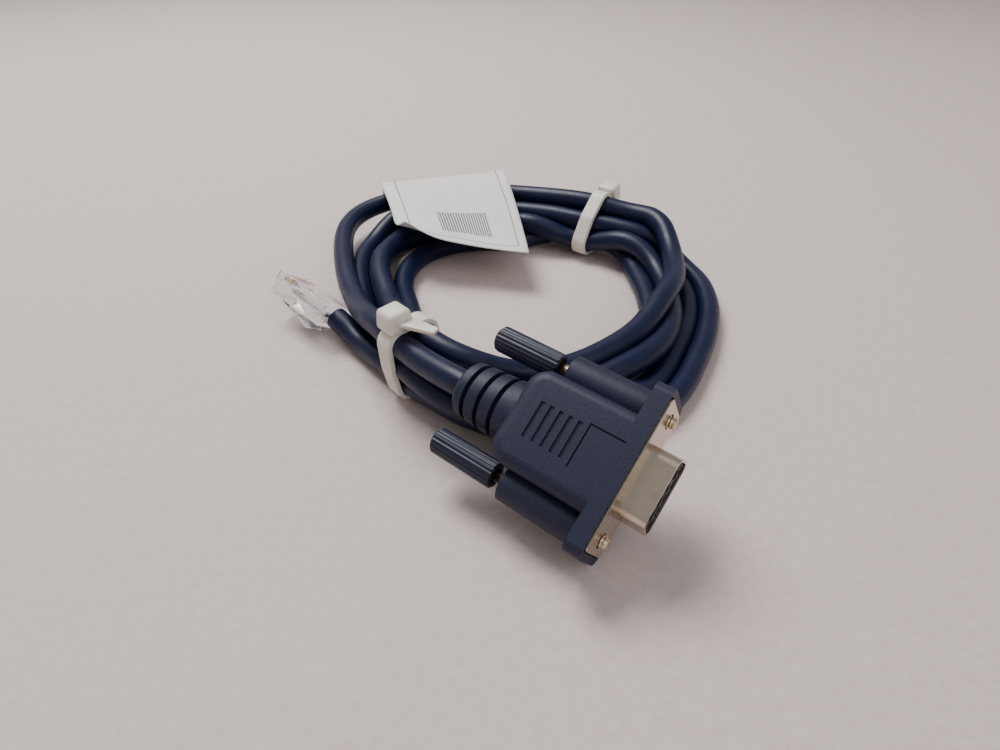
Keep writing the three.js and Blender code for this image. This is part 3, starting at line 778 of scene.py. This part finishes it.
# CAD nodes that keep their shape
hood_plastic = moulded_plastic()
knob_navy = knob_plastic()
nickel = metal("nickel", (0.66, 0.56, 0.46), 0.20, 5200)
brass = metal("screw_metal", (0.72, 0.60, 0.42), 0.28)
gold = metal("gold_contact", (0.85, 0.62, 0.30), 0.2)
black = dull_plastic("insulator", (0.02, 0.02, 0.024), 0.5)

dress("connector_hood", hood_plastic, 0.00035)
dress("plate_and_shell", nickel, 0.0004)
dress("insulator", black)
for number in range(1, 10):
    dress(f"socket_contact_{number}", gold)
for side in ("upper", "lower"):
    dress(f"thumbscrew_knob_{side}", knob_navy)
dress("plug_body", clear_plastic())
for number in range(1, 9):
    dress(f"plug_blade_{number}", gold)
    for entry in frame["record"]["materials"]:
        if entry["slot"] == f"wire_{number}":
            colour = tuple(entry["base_color"][:3])
    dress(f"plug_wire_{number}", dull_plastic(f"wire_{number}", colour, 0.35))


# Thumbscrews' screws: in millimetres along the connector's axis, forward of the plate
CONNECTOR_ZERO = (24.6, -63.0, 16.4)
SCREW_BACK = -34.0
SCREW_TIP = 1.4
SCREW_RADIUS = 1.3
THREAD_START = -5.0
THREAD_PITCH = 0.63
THREAD_DEPTH = 0.3
THREAD_STEPS = 8
SCREW_SIDES = 28


def add_screw(side, joint, other, material):
    """One screw: a plain rod that carries a single helical thread towards its tip."""
    axis = unit(np.array(joint["axis"], float))
    to_side = np.array(joint["pos_m"], float) - np.array(other["pos_m"], float)
    middle = to_frame(CONNECTOR_ZERO) + to_side / 2
    outward = unit(to_side)
    up = np.cross(axis, outward)
    places = [SCREW_BACK, THREAD_START]
    count = int((SCREW_TIP - THREAD_START) / THREAD_PITCH * THREAD_STEPS)
    places += list(np.linspace(THREAD_START, SCREW_TIP, count + 1)[1:])
    vertices = []
    for along in places:
        for number in range(SCREW_SIDES):
            turn = number / SCREW_SIDES
            phase = (along / THREAD_PITCH - turn) % 1
            depth = THREAD_DEPTH * abs(2 * phase - 1) if along > THREAD_START else THREAD_DEPTH / 2
            left = SCREW_TIP - along
            radius = SCREW_RADIUS - max(depth, THREAD_DEPTH * 1.6 - left)
            angle = 2 * math.pi * turn
            spot = axis * along + (outward * math.cos(angle) + up * math.sin(angle)) * radius
            vertices.append(middle + spot * MM)
    faces = [tuple(reversed(range(SCREW_SIDES)))]
    for ring in range(len(places) - 1):
        for number in range(SCREW_SIDES):
            after = (number + 1) % SCREW_SIDES
            a = ring * SCREW_SIDES
            faces.append((a + number, a + after, a + SCREW_SIDES + after, a + SCREW_SIDES + number))
    faces.append(tuple((len(places) - 1) * SCREW_SIDES + number for number in range(SCREW_SIDES)))
    obj = add_mesh(f"screw_{side}", vertices, faces, material)
    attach(obj, f"thumbscrew_{side}")
    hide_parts(f"thumbscrew_screw_{side}")


upper_turn, lower_turn = frame["record"]["behaviour"]["joints"]
add_screw("upper", upper_turn, lower_turn, brass)
add_screw("lower", lower_turn, upper_turn, brass)


# Floor, light and backdrop
def add_stage():
    size = 3.0
    floor = add_mesh(
        "floor",
        [(-size, -size, 0), (size, -size, 0), (size, size, 0), (-size, size, 0)],
        [(0, 1, 2, 3)],
        floor_material(),
        smooth=False,
    )


def floor_material():
    material, tree, shader = nodes_of("floor")
    link(tree, ramp(tree, noise(tree, 500, 3), (0.60, 0.50, 0.48), (0.66, 0.56, 0.54)),
         shader.inputs["Base Color"])
    shader.inputs["Roughness"].default_value = 0.75
    bump(tree, shader, noise(tree, 700, 3), 0.3, 0.0003)
    return material


def add_light(name, place, target, size, power, colour=(1, 1, 1)):
    data = bpy.data.lights.new(name, "AREA")
    data.size = size
    data.energy = power
    data.color = colour
    light = bpy.data.objects.new(name, data)
    light.location = place
    light.rotation_euler = (Vector(target) - Vector(place)).to_track_quat("-Z", "Y").to_euler()
    bpy.context.scene.collection.objects.link(light)


def add_lights():
    middle = (0, 0, 0)
    add_light("key", (-0.25, 0.35, 0.7), middle, 0.4, 8)
    add_light("fill", (0.5, -0.6, 0.7), middle, 0.8, 3)
    world = bpy.data.worlds.new("world")
    world.use_nodes = True
    world.node_tree.nodes["Background"].inputs["Color"].default_value = (1, 0.97, 0.95, 1)
    world.node_tree.nodes["Background"].inputs["Strength"].default_value = 0.36
    bpy.context.scene.world = world


add_stage()
add_lights()
